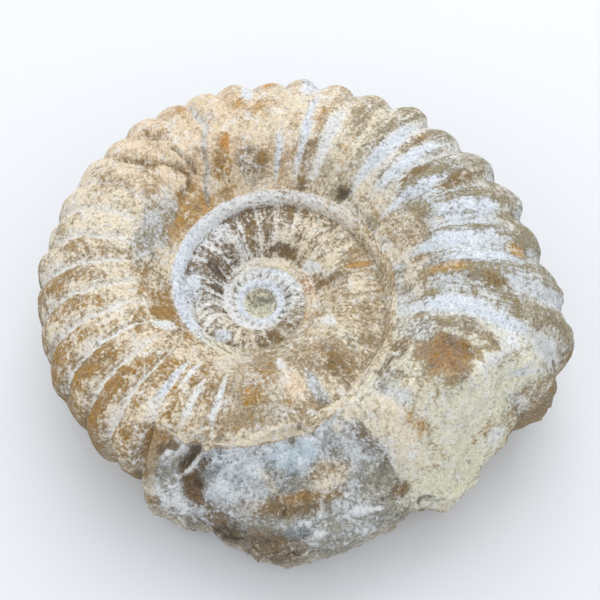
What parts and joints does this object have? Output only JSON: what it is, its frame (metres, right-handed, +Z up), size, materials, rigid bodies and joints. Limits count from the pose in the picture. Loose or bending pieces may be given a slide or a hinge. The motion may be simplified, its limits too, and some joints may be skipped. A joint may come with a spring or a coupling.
{
  "type": "fossil ammonite",
  "caption": "Ribbed fossil ammonite lying on its side: a thick limestone coil with an open, stepped centre and a last whorl that is broken away to rough rock.",
  "frame": {"origin": "centre of the bounding box in plan, on the plane that the stone rests on", "axes": "+Z up through the thickness of the coil; +X to the side where the last whorl is widest; -Y to the broken side"},
  "size_m": [0.1972, 0.186, 0.078],
  "materials": {
    "limestone": "weathered limestone, tan and ochre with chalk-white streaks, dull"
  },
  "bodies": {
    "root": {"ammonite": "limestone"}
  },
  "joints": []
}
